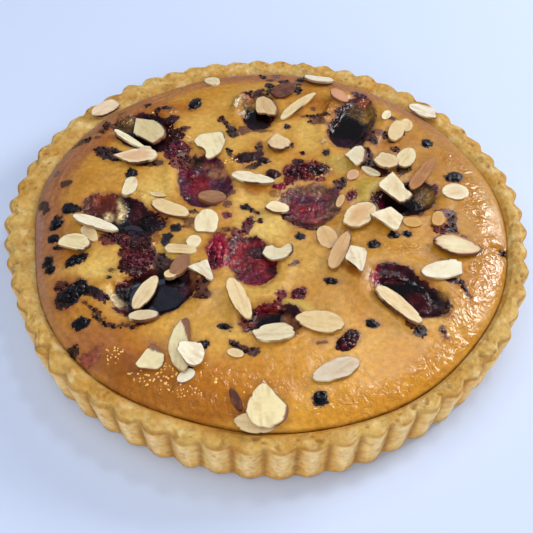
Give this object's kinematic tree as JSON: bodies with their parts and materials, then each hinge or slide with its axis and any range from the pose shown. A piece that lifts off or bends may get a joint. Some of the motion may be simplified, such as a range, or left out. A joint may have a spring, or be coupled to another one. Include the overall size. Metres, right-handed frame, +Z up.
{
  "type": "frangipane tart",
  "caption": "Whole round tart: a fluted pastry cup filled with almond frangipane, with plum halves, berries and flaked almonds baked into its domed top.",
  "frame": {"origin": "middle of the crust's flat foot, on the surface that the tart stands on", "axes": "+Z up through the middle of the tart, +Y to its back and +X to its right as pictured"},
  "size_m": [0.2731, 0.2723, 0.0409],
  "materials": {
    "crust": "matte baked shortcrust pastry",
    "frangipane": "baked almond filling with a thin glaze",
    "plum": "wet cooked plum, glossy with juice",
    "berry": "wet cooked berry, glossy",
    "almond": "dry flaked almond"
  },
  "bodies": {
    "root": {"crust": "crust", "frangipane": "frangipane", "plum_back_right": "plum", "plum_back": "plum", "plum_back_left": "plum", "plum_left_middle": "plum", "plum_middle": "plum", "plum_front_middle": "plum", "plum_right": "plum", "plum_left": "plum", "plum_front_left": "plum", "plum_front_right": "plum", "plum_front": "plum", "berry_middle": "berry", "berry_red": "berry", "berry_left": "berry", "berry_front": "berry", "almond_01": "almond", "almond_02": "almond", "almond_03": "almond", "almond_04": "almond", "almond_05": "almond", "almond_06": "almond", "almond_07": "almond", "almond_08": "almond", "almond_09": "almond", "almond_10": "almond", "almond_11": "almond", "almond_12": "almond", "almond_13": "almond", "almond_14": "almond", "almond_15": "almond", "almond_16": "almond", "almond_17": "almond", "almond_18": "almond", "almond_19": "almond", "almond_20": "almond", "almond_21": "almond", "almond_22": "almond", "almond_23": "almond", "almond_24": "almond", "almond_25": "almond", "almond_26": "almond", "almond_27": "almond", "almond_28": "almond", "almond_29": "almond", "almond_30": "almond", "almond_31": "almond", "almond_32": "almond", "almond_33": "almond", "almond_34": "almond", "almond_35": "almond", "almond_36": "almond", "almond_37": "almond", "almond_38": "almond", "almond_39": "almond", "almond_40": "almond", "almond_41": "almond", "almond_42": "almond", "almond_43": "almond"}
  },
  "joints": []
}
